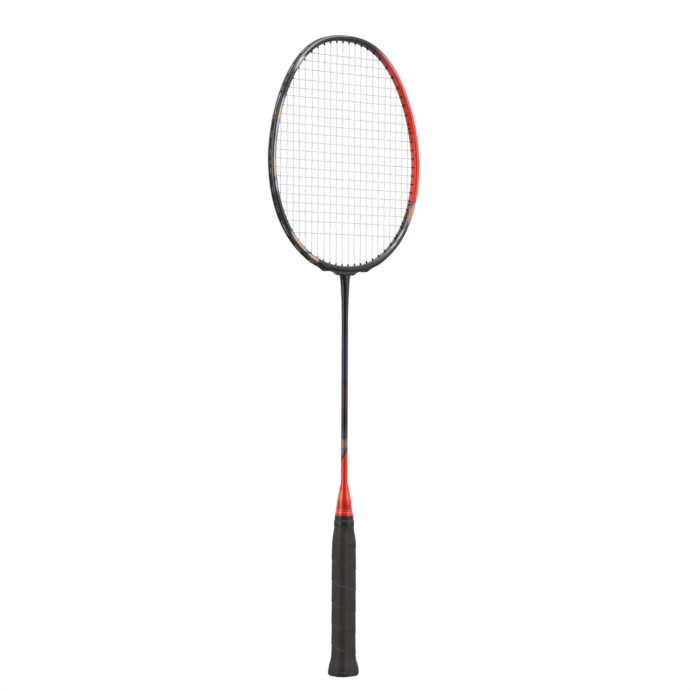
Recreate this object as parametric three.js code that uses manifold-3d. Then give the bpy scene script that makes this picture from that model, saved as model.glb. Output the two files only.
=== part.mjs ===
// Badminton racket, standing upright in its own frame: the butt face lies on z = 0, the
// shaft runs along +Z and the head lies in the XZ plane. All sizes are in millimetres.
import * as THREE from 'three';
import { mergeVertices } from 'three/addons/utils/BufferGeometryUtils.js';
import { ParametricGeometry } from 'three/addons/geometries/ParametricGeometry.js';
import Module from 'manifold-3d';

// ---------------------------------------------------------------- driving dimensions
// Head outline through the middle of the hoop's section: x follows a power of the angle's
// cosine and z a power of its sine, so that 1 and 1 would make a plain ellipse.
const HEAD_HALF_WIDTH = 96.9;
const HEAD_WAIST_Z = 543.2;
const HEAD_TOP_Z = 671.8;
const HEAD_BOTTOM_Z = 428.7;
const CROWN_POWERS = [0.83, 1.152];
const THROAT_POWERS = [0.9185, 0.9185];

// Hoop section, as [level, y]: level is the distance out from the outline, y the distance
// from the head's middle plane. Half of each section is listed, the rest is its mirror.
const HOOP_SECTION = [[-3.2, 2], [-2.3, 4.2], [-0.2, 5.1], [2, 4.6], [3.2, 2.5], [1.5, 1.9]];
const HOLLOW_SECTION = [[-2.2, 1.6], [-1.2, 3.8], [0.9, 3.9], [0.5, 1.6]];
const HOOP_SLICES = 72;
const THROAT_THICKENING = 0.34;       // extra outward size of the hoop near the shaft
const THICKENING_FROM_X = 40;
const THICKENING_TO_X = 60;
const HUMP_X = 26;                    // the two small humps either side of the shaft
const HUMP_HEIGHT = 1.9;
const HUMP_WIDTH = 4.5;

// String bed.
const STRING_RADIUS = 0.34;
const STRING_PLANE_OFFSET = 0.5;      // mains run behind the middle plane, crosses in front
const MAIN_COUNT = 22;
const MAIN_PITCH = 8.15;
const CROSS_COUNT = 21;
const CROSS_TOP_Z = 652.5;
const CROSS_PITCH = 9.49;             // at the crown; each gap below is a little less
const CROSS_PITCH_TAPER = 0.035;
const LAST_CROSS_GAPS = [9.7, 12.3];
const SHARED_HOLE_DISTANCE = 3.4;     // string ends closer than this share one hole

// Grommets: levels are distances out from the outline, as in the hoop section.
const HOLE_RADIUS = 1.6;
const BARREL_RADIUS = 1.35;
const BORE_RADIUS = 1;
const BARREL_INNER_LEVEL = -5.3;
const MOUTH_LEVEL = -5.9;             // where a string bends into its grommet
const WEB_LEVEL = 2;                  // middle of the thin web that joins a strip's barrels
const WEB_THICKNESS = 0.4;
const WEB_HALF_WIDTH = 1.45;
const WEB_OVERHANG_ANGLE = 0.016;
const STRING_GROOVE_LEVEL = 2.78;
const LONGEST_CHORD = 10;              // longest straight stretch of a string in the groove
const GROMMETS_PER_STRIP = 5;

// Shaft, T-joint and throat.
const SHAFT_RADIUS = 3.55;
const SHAFT_BORE_RADIUS = 2.6;
const SHAFT_BOTTOM_Z = 76;
const SHAFT_TOP_Z = 421.8;
const STEM_RADIUS = 1.6;
const STEM_HOLE_RADIUS = 1.9;
const STEM_BOTTOM_Z = 384;
const STEM_TOP_Z = 430;
const JOINT_BAR_HALF_ANGLE = 0.17;
const JOINT_BAR_SECTION = [[-1.9, 1.5], [-1.1, 3.4], [0.5, 3.3], [0.4, 1.5]];
const COLLAR_HALF_DEPTH = 4.6;
const COLLAR_BEVEL = 0.8;
const COLLAR_HALF_LENGTH = 15;

// Handle: eight sides, with broad flats across X and Y and narrow ones between them. Its two
// kinds of corner are given as [x, y] for a nominal radius of 1.
const SIDE_FLAT_CORNER = [0.859, 0.44];
const FRONT_FLAT_CORNER = [0.521, 0.778];
const ROUND_SIDES = 20;

// Turned outlines, as [radius, z]; each closes on itself. The radius of an octagonal outline
// is the nominal one.
const SHAFT_OUTLINE = [
  [SHAFT_BORE_RADIUS, SHAFT_BOTTOM_Z], [SHAFT_RADIUS, SHAFT_BOTTOM_Z], [SHAFT_RADIUS, 378],
  [3.7, 388], [3.95, 396], [4.4, 404.5], [4.8, 412.5], [5.2, 417.5], [5.8, SHAFT_TOP_Z],
  [SHAFT_BORE_RADIUS, SHAFT_TOP_Z],
];
const CONE_OUTLINE = [
  [3.75, 202.4], [3.75, 196], [6.6, 178], [6.6, 157.8], [7.4, 157.8], [7.4, 168.2],
  [9.8, 168.2], [9.85, 169.4], [9.4, 171], [8.85, 173], [8.35, 178], [7.65, 184.5],
  [6.6, 190], [5.6, 194.5], [4.55, 199], [4.1, 202.4],
];
const TAPE_OUTLINE = [[7.7, 163.9], [9.95, 163.9], [9.95, 167.9], [7.7, 167.9]];
const HANDLE_OUTLINE = [
  [4.8, 2.6], [12, 2.6], [13.9, 4.6], [13.6, 9.2], [12, 15.6], [11.1, 21.5], [11.1, 135],
  [9.4, 150], [8.3, 157.4], [6.5, 157.4], [6.5, 174.5], [4.8, 174.5],
];
const WRAP_OUTLINE = [
  [12.4, 0.3], [15.3, 0.3], [16.5, 1.2], [17.05, 2.6], [17.2, 4.4], [16.85, 8.6],
  [15.9, 12.4], [14.6, 16.2], [13.85, 20], [13.5, 27], [13.5, 135],
  [12.9, 143.5], [12.1, 149], [11.4, 153.5], [11.1, 158], [11.1, 163.5], [9.9, 163.5],
  [9.9, 151], [11.5, 136.4], [11.5, 21.3], [12.4, 15.4], [14, 9.2], [14.3, 4.4], [12.4, 2.3],
];
const CAP_OUTLINE = [[0, 0], [11.9, 0], [11.9, 2.1], [4.2, 2.1], [4.2, 12], [0, 12]];

// Finishes.
const PAINT_BLACK = { color: 0x1b1b20, roughness: 0.25, metalness: 0.1 };
const PAINT_RED = { color: 0xe03a22, roughness: 0.28, metalness: 0.05 };
const CARBON = { color: 0x2a2a2c, roughness: 0.5, metalness: 0.1 };
const NYLON = { color: 0x111112, roughness: 0.45, metalness: 0 };
const STRING_WHITE = { color: 0xe9e9ea, roughness: 0.35, metalness: 0 };
const WOOD = { color: 0xc9a06a, roughness: 0.7, metalness: 0 };
const POLYURETHANE = { color: 0x1a1a1a, roughness: 0.6, metalness: 0 };
const PLASTIC_BLACK = { color: 0x151516, roughness: 0.4, metalness: 0 };

// ---------------------------------------------------------------- head outline
// How much the hoop thickens outward at a point of the outline: 0 away from the throat.
function throatGrowth(angle, x) {
  if (Math.sin(angle) > 0) return 0;
  return THROAT_THICKENING * (1 - THREE.MathUtils.smoothstep(Math.abs(x), THICKENING_FROM_X, THICKENING_TO_X));
}

// The two humps that the hoop's lips make either side of the shaft.
function throatHump(angle, x) {
  if (Math.sin(angle) > 0) return 0;
  return HUMP_HEIGHT * Math.exp(-(((Math.abs(x) - HUMP_X) / HUMP_WIDTH) ** 2));
}

// The outline's point and outward normal at an angle, 0 at +X and a quarter turn at the top.
function outlineAt(angle) {
  const cos = Math.cos(angle);
  const sin = Math.sin(angle);
  const height = sin > 0 ? HEAD_TOP_Z - HEAD_WAIST_Z : HEAD_WAIST_Z - HEAD_BOTTOM_Z;
  const [across, up] = sin > 0 ? CROWN_POWERS : THROAT_POWERS;
  const x = HEAD_HALF_WIDTH * Math.sign(cos) * Math.abs(cos) ** across;
  const z = HEAD_WAIST_Z + height * Math.sign(sin) * Math.abs(sin) ** up;
  const normal = new THREE.Vector3(
    height * up * Math.sign(cos) * Math.abs(cos) ** (2 - across),
    0,
    HEAD_HALF_WIDTH * across * Math.sign(sin) * Math.abs(sin) ** (2 - up),
  ).normalize();
  return { point: new THREE.Vector3(x, 0, z), normal };
}

// A point of the hoop: out from the outline by a level, and off the middle plane by y.
function hoopPoint(angle, level, y = 0) {
  const { point, normal } = outlineAt(angle);
  const stretch = level > 0 ? 1 + throatGrowth(angle, point.x) : 1;
  return point.addScaledVector(normal, level * stretch).setY(y);
}

// Part of the outline at one level, as a path for a section to follow.
class HoopArc extends THREE.Curve {
  constructor(fromAngle, toAngle, level) {
    super();
    this.fromAngle = fromAngle;
    this.toAngle = toAngle;
    this.level = level;
  }

  getPoint(t, target = new THREE.Vector3()) {
    const angle = THREE.MathUtils.lerp(this.fromAngle, this.toAngle, t);
    return target.copy(hoopPoint(angle, this.level));
  }
}

// ---------------------------------------------------------------- solids
const wasm = await Module();
wasm.setup();

// A closed geometry as a manifold-3d solid.
function solidFrom(geometry) {
  const bare = geometry.clone();
  bare.deleteAttribute('normal');
  bare.deleteAttribute('uv');
  const welded = mergeVertices(bare, 1e-3);
  const vertProperties = new Float32Array(welded.attributes.position.array);
  const triVerts = new Uint32Array(welded.index.array);
  return new wasm.Manifold(new wasm.Mesh({ numProp: 3, vertProperties, triVerts }));
}

// A manifold-3d solid as a geometry.
function geometryFrom(solid) {
  const mesh = solid.getMesh();
  const geometry = new THREE.BufferGeometry();
  geometry.setAttribute('position', new THREE.BufferAttribute(new Float32Array(mesh.vertProperties), 3));
  geometry.setIndex(new THREE.BufferAttribute(new Uint32Array(mesh.triVerts), 1));
  geometry.computeVertexNormals();
  return geometry;
}

function unite(solids) {
  return solids.reduce((whole, solid) => whole.add(solid));
}

function cutAway(solid, tools) {
  return tools.reduce((rest, tool) => rest.subtract(tool), solid);
}

// The full section from its listed half, once round.
function mirrored(half) {
  const back = half.map(([level, y]) => [level, -y]).reverse();
  return [...half, ...back];
}

// A closed ring of constant section round the whole outline. The humps only raise the lips.
function hoopRing(half) {
  const section = mirrored(half);
  const lipLevel = Math.max(...section.map(([level]) => level));
  const surface = (u, v, target) => {
    const angle = 2 * Math.PI * u;
    const [level, y] = section[Math.round(v * section.length) % section.length];
    target.copy(hoopPoint(angle, level, y));
    if (level === lipLevel && level > WEB_LEVEL) {
      const { point, normal } = outlineAt(angle);
      target.addScaledVector(normal, throatHump(angle, point.x));
    }
  };
  return solidFrom(new ParametricGeometry(surface, HOOP_SLICES, section.length));
}

// A bar that follows the outline at a level, its section given as [rise, y] points, where
// rise is the distance out from that level.
function hoopBar(section, level, fromAngle, toAngle, steps) {
  const shape = new THREE.Shape(section.map(([rise, y]) => new THREE.Vector2(-y, rise)));
  const extrudePath = new HoopArc(fromAngle, toAngle, level);
  return solidFrom(new THREE.ExtrudeGeometry(shape, { extrudePath, steps }));
}

// A straight hexagonal rod through the hoop at an angle, between two levels, with two of
// its corners facing front and back.
function radialRod(angle, radius, fromLevel, toLevel) {
  const start = hoopPoint(angle, fromLevel);
  const end = hoopPoint(angle, toLevel);
  const rod = new THREE.CylinderGeometry(radius, radius, start.distanceTo(end), 6);
  const { normal } = outlineAt(angle);
  const place = new THREE.Matrix4().makeBasis(
    new THREE.Vector3(-normal.z, 0, normal.x),
    normal,
    new THREE.Vector3(0, 1, 0),
  );
  place.setPosition(start.add(end).multiplyScalar(0.5));
  return solidFrom(rod.applyMatrix4(place));
}

// A turned solid about the Z axis.
function turned(outline, sides) {
  const points = outline.map(([radius, z]) => new THREE.Vector2(radius, z));
  const onAxis = outline[0][0] === 0;
  if (!onAxis) points.push(points[0].clone());
  const geometry = new THREE.LatheGeometry(points, sides, Math.PI / sides);
  return geometry.rotateX(Math.PI / 2);
}

// An eight-sided solid about the Z axis with the handle's broad and narrow flats.
function octagonal(outline) {
  const geometry = turned(outline, 8);
  const { position } = geometry.attributes;
  for (let index = 0; index < position.count; index += 1) {
    const x = position.getX(index);
    const y = position.getY(index);
    const corner = Math.abs(x) > Math.abs(y) ? SIDE_FLAT_CORNER : FRONT_FLAT_CORNER;
    const radius = Math.hypot(x, y);
    position.setXY(index, Math.sign(x) * radius * corner[0], Math.sign(y) * radius * corner[1]);
  }
  return geometry;
}

// ---------------------------------------------------------------- string pattern
// The angle in a range at which a rising measure of the outline reaches zero.
function angleWhere(measure, low, high) {
  let from = low;
  let to = high;
  for (let round = 0; round < 40; round += 1) {
    const middle = (from + to) / 2;
    if (measure(middle) < 0) from = middle;
    else to = middle;
  }
  return (from + to) / 2;
}

function mainX(index) {
  return (index - (MAIN_COUNT - 1) / 2) * MAIN_PITCH;
}

function crossZ(index) {
  const extra = Math.max(0, index - (CROSS_COUNT - 1 - LAST_CROSS_GAPS.length));
  const even = index - extra;
  const tail = LAST_CROSS_GAPS.slice(0, extra).reduce((sum, gap) => sum + gap, 0);
  return CROSS_TOP_Z - CROSS_PITCH * even + (CROSS_PITCH_TAPER * even * (even - 1)) / 2 - tail;
}

// Every string end on the right half of the head, from the throat up to the crown.
function rightStringEnds() {
  const ends = [];
  for (let index = MAIN_COUNT / 2; index < MAIN_COUNT; index += 1) {
    const x = mainX(index);
    const above = (angle) => x - hoopPoint(angle, MOUTH_LEVEL).x;
    const below = (angle) => hoopPoint(angle, MOUTH_LEVEL).x - x;
    ends.push({ kind: 'mainTop', index, angle: angleWhere(above, 0.05, Math.PI / 2) });
    ends.push({ kind: 'mainBottom', index, angle: angleWhere(below, -Math.PI / 2, -0.05) });
  }
  for (let index = 0; index < CROSS_COUNT; index += 1) {
    const z = crossZ(index);
    const rise = (angle) => hoopPoint(angle, MOUTH_LEVEL).z - z;
    ends.push({ kind: 'cross', index, angle: angleWhere(rise, -Math.PI / 2, Math.PI / 2) });
  }
  return ends.sort((a, b) => a.angle - b.angle);
}

// Neighbouring ends that lie too close for two holes share one hole between them.
function shareHoles(ends) {
  for (let index = 1; index < ends.length; index += 1) {
    const before = ends[index - 1];
    const here = ends[index];
    const gap = hoopPoint(before.angle, MOUTH_LEVEL).distanceTo(hoopPoint(here.angle, MOUTH_LEVEL));
    if (gap < SHARED_HOLE_DISTANCE && before.kind !== here.kind) {
      const middle = (before.angle + here.angle) / 2;
      before.angle = middle;
      here.angle = middle;
    }
  }
  return ends;
}

// The head is the same left and right, so a left end mirrors the right one.
const rightEnds = shareHoles(rightStringEnds());

function endAngle(kind, index, onRight) {
  const mirrorIndex = kind === 'cross' || onRight ? index : MAIN_COUNT - 1 - index;
  const { angle } = rightEnds.find((end) => end.kind === kind && end.index === mirrorIndex);
  return onRight ? angle : Math.PI - angle;
}

// All holes once round the head, from just right of the shaft, each angle once.
function holeAngles() {
  const right = [...new Set(rightEnds.map((end) => end.angle))];
  const left = right.map((angle) => Math.PI - angle).reverse();
  return [...right, ...left];
}

const holes = holeAngles();

// A string is one polyline in a plane of constant y, mitred at its bends.
class StringRoute extends THREE.Curve {
  constructor(points) {
    super();
    this.points = points;
  }

  getPoint(t, target = new THREE.Vector3()) {
    return target.copy(this.points[Math.round(t * (this.points.length - 1))]);
  }

  getSpacedPoints() {
    return this.points;
  }

  getTangentAt(u, target = new THREE.Vector3()) {
    const index = Math.round(u * (this.points.length - 1));
    const here = this.points[index];
    const before = this.points[Math.max(index - 1, 0)];
    const after = this.points[Math.min(index + 1, this.points.length - 1)];
    const arriving = here.clone().sub(before).normalize();
    const leaving = after.clone().sub(here).normalize();
    return target.copy(arriving).add(leaving).normalize();
  }
}

// The points of a string from its mouth inside the hoop, out to the groove.
function throughHole(angle, y) {
  return [
    hoopPoint(angle, MOUTH_LEVEL, y),
    hoopPoint(angle, STRING_GROOVE_LEVEL - 0.5, y),
  ];
}

// The points along the groove between two holes, with the corners cut where it turns in.
function alongGroove(fromAngle, toAngle, y) {
  const start = hoopPoint(fromAngle, STRING_GROOVE_LEVEL);
  const end = hoopPoint(toAngle, STRING_GROOVE_LEVEL);
  const corner = (0.5 / start.distanceTo(end)) * (toAngle - fromAngle);
  const stretches = Math.ceil(start.distanceTo(end) / LONGEST_CHORD);
  const points = [];
  for (let step = 0; step <= stretches; step += 1) {
    const angle = THREE.MathUtils.lerp(fromAngle + corner, toAngle - corner, step / stretches);
    points.push(hoopPoint(angle, STRING_GROOVE_LEVEL, y));
  }
  return points;
}

// One continuous string: runs is a list of [first hole, last hole] straight runs in order.
function stringMesh(runs, y) {
  const points = [];
  runs.forEach(([first, last], index) => {
    points.push(...throughHole(first, y).reverse());
    points.push(...throughHole(last, y));
    const next = runs[index + 1];
    if (next) points.push(...alongGroove(last, next[0], y));
  });
  const corners = [];
  for (let side = 0; side < 6; side += 1) {
    const turn = (side * Math.PI) / 3 + Math.PI / 2;
    corners.push(new THREE.Vector2(STRING_RADIUS * Math.cos(turn), STRING_RADIUS * Math.sin(turn)));
  }
  const extrudePath = new StringRoute(points);
  return new THREE.ExtrudeGeometry(new THREE.Shape(corners), { extrudePath, steps: points.length - 1 });
}

// The mains climb from the throat on the far left and alternate, so that no loop has to
// pass under the shaft.
function mainRuns() {
  const runs = [];
  for (let index = 0; index < MAIN_COUNT; index += 1) {
    const onRight = index >= MAIN_COUNT / 2;
    const top = endAngle('mainTop', index, onRight);
    let bottom = endAngle('mainBottom', index, onRight);
    if (!onRight) bottom = unwrapLeft(bottom);
    runs.push(index % 2 === 0 ? [bottom, top] : [top, bottom]);
  }
  return runs;
}

// Left-hand angles stay between a quarter turn and three quarters of a turn.
function unwrapLeft(angle) {
  return angle < Math.PI / 2 ? angle + 2 * Math.PI : angle;
}

function crossRuns() {
  const runs = [];
  for (let index = 0; index < CROSS_COUNT; index += 1) {
    const left = unwrapLeft(endAngle('cross', index, false));
    const right = endAngle('cross', index, true);
    runs.push(index % 2 === 0 ? [left, right] : [right, left]);
  }
  return runs;
}

// ---------------------------------------------------------------- sub-parts
const racket = new THREE.Group();

function addPart(name, geometry, finish) {
  const mesh = new THREE.Mesh(geometry, new THREE.MeshStandardMaterial(finish));
  mesh.name = name;
  racket.add(mesh);
}

function stemRod(radius) {
  const rod = new THREE.CylinderGeometry(radius, radius, STEM_TOP_Z - STEM_BOTTOM_Z, 8);
  rod.rotateX(Math.PI / 2).translate(0, 0, (STEM_TOP_Z + STEM_BOTTOM_Z) / 2);
  return solidFrom(rod);
}

// Hollow moulded hoop: a string groove round its outside and a hole for every grommet.
function headFrame() {
  const drills = holes.map((angle) => radialRod(angle, HOLE_RADIUS, -7, 7));
  const shell = hoopRing(HOOP_SECTION).subtract(hoopRing(HOLLOW_SECTION));
  return geometryFrom(cutAway(shell, [...drills, stemRod(STEM_HOLE_RADIUS)]));
}

// The T-joint's bar lies inside the hoop, its stem runs down into the shaft.
function tJoint() {
  const middle = -Math.PI / 2;
  const from = middle - JOINT_BAR_HALF_ANGLE;
  const to = middle + JOINT_BAR_HALF_ANGLE;
  const bar = hoopBar(mirrored(JOINT_BAR_SECTION), 0, from, to, 6);
  const nearby = holes.filter((angle) => Math.abs(hoopPoint(angle, 0).x) < 22 && Math.sin(angle) < 0);
  const drills = nearby.map((angle) => radialRod(angle, HOLE_RADIUS, -7, 7));
  return geometryFrom(cutAway(bar.add(stemRod(STEM_RADIUS)), drills));
}

// The fairing between the hoop's underside and the top of the shaft.
function throatCollar() {
  const lip = HOOP_SECTION[4][0];
  const top = [];
  for (let step = 0; step <= 8; step += 1) {
    const x = THREE.MathUtils.lerp(-COLLAR_HALF_LENGTH, COLLAR_HALF_LENGTH, step / 8);
    const angle = angleWhere((at) => hoopPoint(at, lip).x - x, -2.2, -0.9);
    top.push(new THREE.Vector2(x, hoopPoint(angle, lip).z - 0.35));
  }
  const bottom = [[13.9, 424.1], [11, 422.9], [8, 422.3], [0, 422.1], [-8, 422.3], [-11, 422.9], [-13.9, 424.1]];
  const outline = [...top, ...bottom.map(([x, z]) => new THREE.Vector2(x, z))];
  const geometry = new THREE.ExtrudeGeometry(new THREE.Shape(outline), {
    depth: 2 * (COLLAR_HALF_DEPTH - COLLAR_BEVEL),
    bevelThickness: COLLAR_BEVEL,
    bevelSize: 0.3,
    bevelOffset: -0.3,
    bevelSegments: 1,
  });
  geometry.rotateX(Math.PI / 2).translate(0, COLLAR_HALF_DEPTH - COLLAR_BEVEL, 0);
  return geometryFrom(solidFrom(geometry).subtract(stemRod(STEM_HOLE_RADIUS)));
}

// A strip of nylon grommets: barrels through the hoop, joined by a web in the groove.
function grommetStrip(angles) {
  const half = WEB_THICKNESS / 2;
  const section = [[-half, WEB_HALF_WIDTH], [half, WEB_HALF_WIDTH], [half, -WEB_HALF_WIDTH], [-half, -WEB_HALF_WIDTH]];
  const from = angles[0] - WEB_OVERHANG_ANGLE;
  const to = angles[angles.length - 1] + WEB_OVERHANG_ANGLE;
  const web = hoopBar(section, WEB_LEVEL, from, to, angles.length + 1);
  const barrels = angles.map((angle) => radialRod(angle, BARREL_RADIUS, BARREL_INNER_LEVEL, WEB_LEVEL));
  const bores = angles.map((angle) => radialRod(angle, BORE_RADIUS, BARREL_INNER_LEVEL - 1, WEB_LEVEL + 1));
  return geometryFrom(cutAway(unite([web, ...barrels]), bores));
}

addPart('head_frame', headFrame(), PAINT_BLACK);
addPart('t_joint', tJoint(), CARBON);
addPart('throat_collar', throatCollar(), PAINT_BLACK);

const stripCount = Math.ceil(holes.length / GROMMETS_PER_STRIP);
for (let strip = 0; strip < stripCount; strip += 1) {
  const first = Math.round((strip * holes.length) / stripCount);
  const last = Math.round(((strip + 1) * holes.length) / stripCount);
  const name = `grommet_strip_${String(strip + 1).padStart(2, '0')}`;
  addPart(name, grommetStrip(holes.slice(first, last)), NYLON);
}

addPart('main_string', stringMesh(mainRuns(), STRING_PLANE_OFFSET), STRING_WHITE);
addPart('cross_string', stringMesh(crossRuns(), -STRING_PLANE_OFFSET), STRING_WHITE);
addPart('shaft_tube', turned(SHAFT_OUTLINE, ROUND_SIDES), CARBON);
addPart('cone_cap', turned(CONE_OUTLINE, ROUND_SIDES), PAINT_RED);
addPart('finishing_tape', turned(TAPE_OUTLINE, ROUND_SIDES), PLASTIC_BLACK);
addPart('handle_core', octagonal(HANDLE_OUTLINE), WOOD);
addPart('grip_wrap', octagonal(WRAP_OUTLINE), POLYURETHANE);
addPart('butt_cap', octagonal(CAP_OUTLINE), PLASTIC_BLACK);

export default racket;
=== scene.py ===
"""The badminton racket's looks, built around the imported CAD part: a lacquered hoop with its
grommets and woven strings, the throat, shaft, cone, wrapped handle and butt cap."""

import math
import bpy
import numpy as np
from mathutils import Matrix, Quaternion, Vector


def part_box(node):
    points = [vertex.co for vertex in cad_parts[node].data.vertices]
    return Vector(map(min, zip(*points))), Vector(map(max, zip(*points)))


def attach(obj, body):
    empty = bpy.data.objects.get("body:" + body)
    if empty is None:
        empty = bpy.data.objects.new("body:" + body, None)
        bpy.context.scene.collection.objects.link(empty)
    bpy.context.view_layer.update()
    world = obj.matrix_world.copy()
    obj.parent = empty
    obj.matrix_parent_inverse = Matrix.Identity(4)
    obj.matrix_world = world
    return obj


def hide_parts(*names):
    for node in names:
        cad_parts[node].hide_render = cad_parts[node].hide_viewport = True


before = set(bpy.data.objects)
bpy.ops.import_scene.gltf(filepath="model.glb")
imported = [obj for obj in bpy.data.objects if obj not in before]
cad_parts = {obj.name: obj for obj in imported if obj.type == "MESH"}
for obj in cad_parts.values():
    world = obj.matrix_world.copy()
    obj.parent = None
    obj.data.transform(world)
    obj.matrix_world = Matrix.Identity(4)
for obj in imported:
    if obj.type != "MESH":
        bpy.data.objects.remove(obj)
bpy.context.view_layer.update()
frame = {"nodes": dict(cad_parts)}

MM = 0.001

# ------------------------------------------------------------------ head outline, in mm
# x follows a power of the angle's cosine and z a power of its sine, as in the CAD part.
HOOP_HIGH = np.array(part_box("head_frame")[1]) / MM
HOOP_HALF_LEVEL = 3.2                 # half the hoop's size square to its outline
HOOP_HALF_DEPTH = HOOP_HIGH[1]
HEAD_HALF_WIDTH = HOOP_HIGH[0] - HOOP_HALF_LEVEL
HEAD_TOP_Z = HOOP_HIGH[2] - HOOP_HALF_LEVEL
HEAD_WIDEST_Z = 543.2
HEAD_BOTTOM_Z = 428.7
CROWN_POWERS = (0.83, 1.152)
THROAT_POWERS = (0.9185, 0.9185)
# Near the throat the hoop's outer half is thicker by this share, fading out between two widths.
THROAT_THICKENING, THICKENING_FROM_X, THICKENING_TO_X = 0.34, 40.0, 60.0
# Two small humps under the hoop, either side of the shaft.
HUMP_X, HUMP_HEIGHT, HUMP_WIDTH = 26.0, 1.9, 4.5
HUMP_FULL_LEVEL = 2.6                 # a hump lifts the section fully from here outwards

# Section of the hoop: rounded box with a string groove round the outside.
SECTION_EXPONENT = 2.8
GROOVE_DEPTH = 1.7
GROOVE_HALF_WIDTH, GROOVE_EDGE = 1.9, 0.7

# A level is a distance out from the head's outline, and below zero inside it.
# Grommets: the radius of a bore for one string or for two, and the wall round it.
SINGLE_BORE, SHARED_BORE, GROMMET_WALL = 0.5, 0.78, 0.38
WEB_OVERHANG = 0.016                  # of a strip past its end grommets, in radians
STRIP_COUNT = 16
MOUTH_LEVEL = -5.9                    # where a string's free run ends, just clear of the barrel
BARREL_TIP_LEVEL = -5.2

# Strings.
STRING_RADIUS = 0.34
MAIN_COUNT, MAIN_PITCH = 22, 8.15
CROSS_COUNT, CROSS_TOP_Z = 21, 652.5
CROSS_PITCH, CROSS_PITCH_TAPER = 9.49, 0.035
LAST_CROSS_GAPS = (9.7, 12.3)
SHARED_HOLE_DISTANCE = 3.4            # a main and a cross nearer than this share a hole
HOLE_OUTSIDE_LEVEL = 1.2              # outer end of a string's straight stretch
# Outside the hoop the mains and the crosses run side by side along the groove.
LOOP_LEVEL, LOOP_OFFSET, LOOP_POINT_SPACING = 2.32, 0.5, 1.5
LOOP_RISE, LOOP_RISE_LENGTH, LOOP_SHIFT_LENGTH = 0.9, 1.1, 2.2


# ------------------------------------------------------------------ mesh building
def make_object(name, vertices, faces, sharp_degrees=40.0):
    """A smooth-shaded mesh object from points in mm; edges sharper than the angle stay crisp."""
    mesh = bpy.data.meshes.new(name)
    mesh.from_pydata((np.asarray(vertices, float) * MM).tolist(), [], faces)
    mesh.validate()
    mesh.shade_smooth()
    mesh.set_sharp_from_angle(angle=math.radians(sharp_degrees))
    made = bpy.data.objects.new(name, mesh)
    bpy.context.scene.collection.objects.link(made)
    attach(made, "root")
    return made


def loft_faces(rings, sides, closed_path, start=0):
    """Quads between rings of points, with flat end caps unless the path is closed."""
    faces = []
    for ring in range(rings if closed_path else rings - 1):
        here, after = start + ring * sides, start + (ring + 1) % rings * sides
        for side in range(sides):
            turn = (side + 1) % sides
            faces.append((here + side, here + turn, after + turn, after + side))
    if not closed_path:
        faces.append(tuple(start + side for side in reversed(range(sides))))
        faces.append(tuple(start + (rings - 1) * sides + side for side in range(sides)))
    return faces


def loft(name, rings, closed_path=False, sharp_degrees=40.0):
    """An object skinned over equal rings of points."""
    rings = np.asarray(rings, float)
    count, sides = rings.shape[:2]
    faces = loft_faces(count, sides, closed_path)
    return make_object(name, rings.reshape(-1, 3), faces, sharp_degrees)


def point_attribute(made, name, values):
    """A number on every vertex, for the materials to read."""
    layer = made.data.attributes.new(name, "FLOAT", "POINT")
    layer.data.foreach_set("value", np.asarray(values, np.float32).ravel())


def tube_rings(points, radius, sides):
    """Rings of a round tube along a polyline, square to the path and mitred at its bends."""
    points = np.asarray(points, float)
    steps = np.diff(points, axis=0)
    steps /= np.linalg.norm(steps, axis=1)[:, None]
    tangents = np.vstack([steps[:1], steps[:-1] + steps[1:], steps[-1:]])
    tangents /= np.linalg.norm(tangents, axis=1)[:, None]
    across = np.cross(tangents, (0.0, 1.0, 0.0))
    across /= np.linalg.norm(across, axis=1)[:, None]
    up = np.cross(across, tangents)
    turn = np.linspace(0, 2 * math.pi, sides, endpoint=False)
    circle = across[:, None] * np.cos(turn)[None, :, None] + up[:, None] * np.sin(turn)[None, :, None]
    return points[:, None] + radius * circle


def turned_rings(outline, sides, shape=1.0):
    """Rings about Z from a [radius, z] outline; a shape scales the radius round the turn."""
    turn = np.linspace(0, 2 * math.pi, sides, endpoint=False)
    rings = []
    for radius, z in outline:
        reach = radius * shape
        level = np.full(sides, float(z))
        rings.append(np.stack([reach * np.cos(turn), reach * np.sin(turn), level], axis=1))
    return np.array(rings)


def rounded_box(sides, exponent):
    """[across, up] round a superellipse of half size 1, from the middle of its first side."""
    turn = np.linspace(0, 2 * math.pi, sides, endpoint=False)
    power = 2 / exponent
    across, up = (np.sign(part) * abs(part) ** power for part in (np.cos(turn), np.sin(turn)))
    return across, up


def smooth_outline(points, fineness):
    """A finer outline through the given points, by a Catmull-Rom curve."""
    points = np.asarray(points, float)
    padded = np.vstack([2 * points[0] - points[1], points, 2 * points[-1] - points[-2]])
    out = []
    for a, b, c, d in zip(padded, padded[1:], padded[2:], padded[3:]):
        for t in np.arange(fineness) / fineness:
            out.append(
                0.5 * (2 * b + (c - a) * t + (2 * a - 5 * b + 4 * c - d) * t**2
                       + (3 * b - a - 3 * c + d) * t**3)
            )
    out.append(points[-1])
    return np.array(out)


def smoothstep(value, low, high):
    t = np.clip((np.asarray(value, float) - low) / (high - low), 0, 1)
    return t * t * (3 - 2 * t)


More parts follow.
